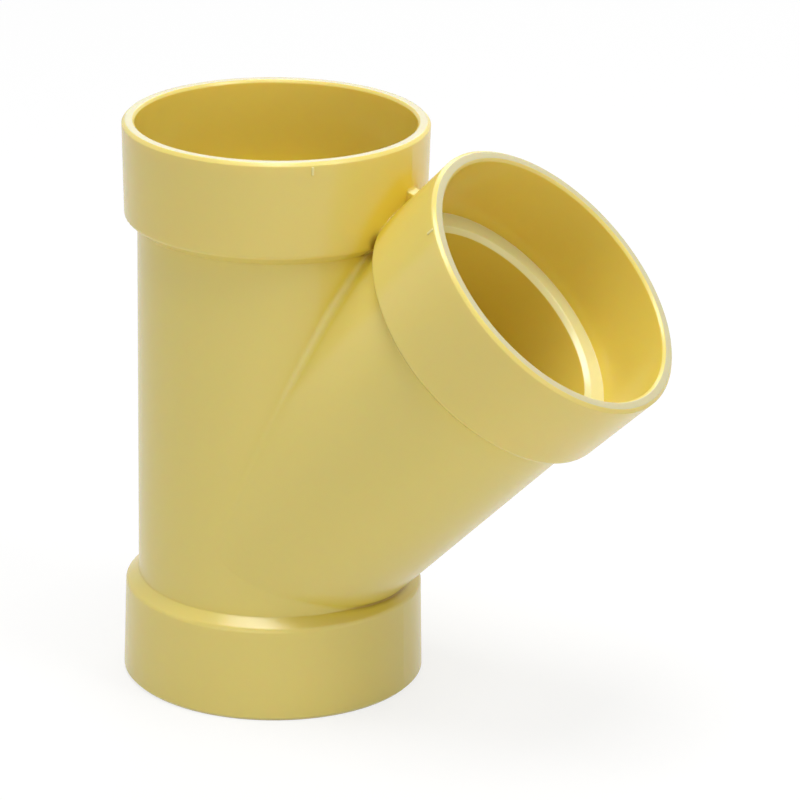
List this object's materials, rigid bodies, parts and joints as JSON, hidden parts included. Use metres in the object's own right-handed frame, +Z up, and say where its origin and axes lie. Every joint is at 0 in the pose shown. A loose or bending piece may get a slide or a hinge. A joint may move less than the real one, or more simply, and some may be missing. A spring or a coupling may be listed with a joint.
{
  "type": "lateral wye fitting",
  "caption": "One-piece 45 degree drain wye with plain solvent sockets of equal size on a straight run and a slanted branch.",
  "frame": {"origin": "centre of the lower socket mouth, in the plane of its rim", "axes": "+Z up the run towards the upper socket, +X to the side the branch leans to, XZ is the plane of symmetry"},
  "size_m": [0.123, 0.066, 0.1255],
  "materials": {
    "yellow_pvc": "injection moulded, satin to gloss, pale custard yellow"
  },
  "bodies": {
    "root": {"wye_fitting": "yellow_pvc"}
  },
  "joints": []
}
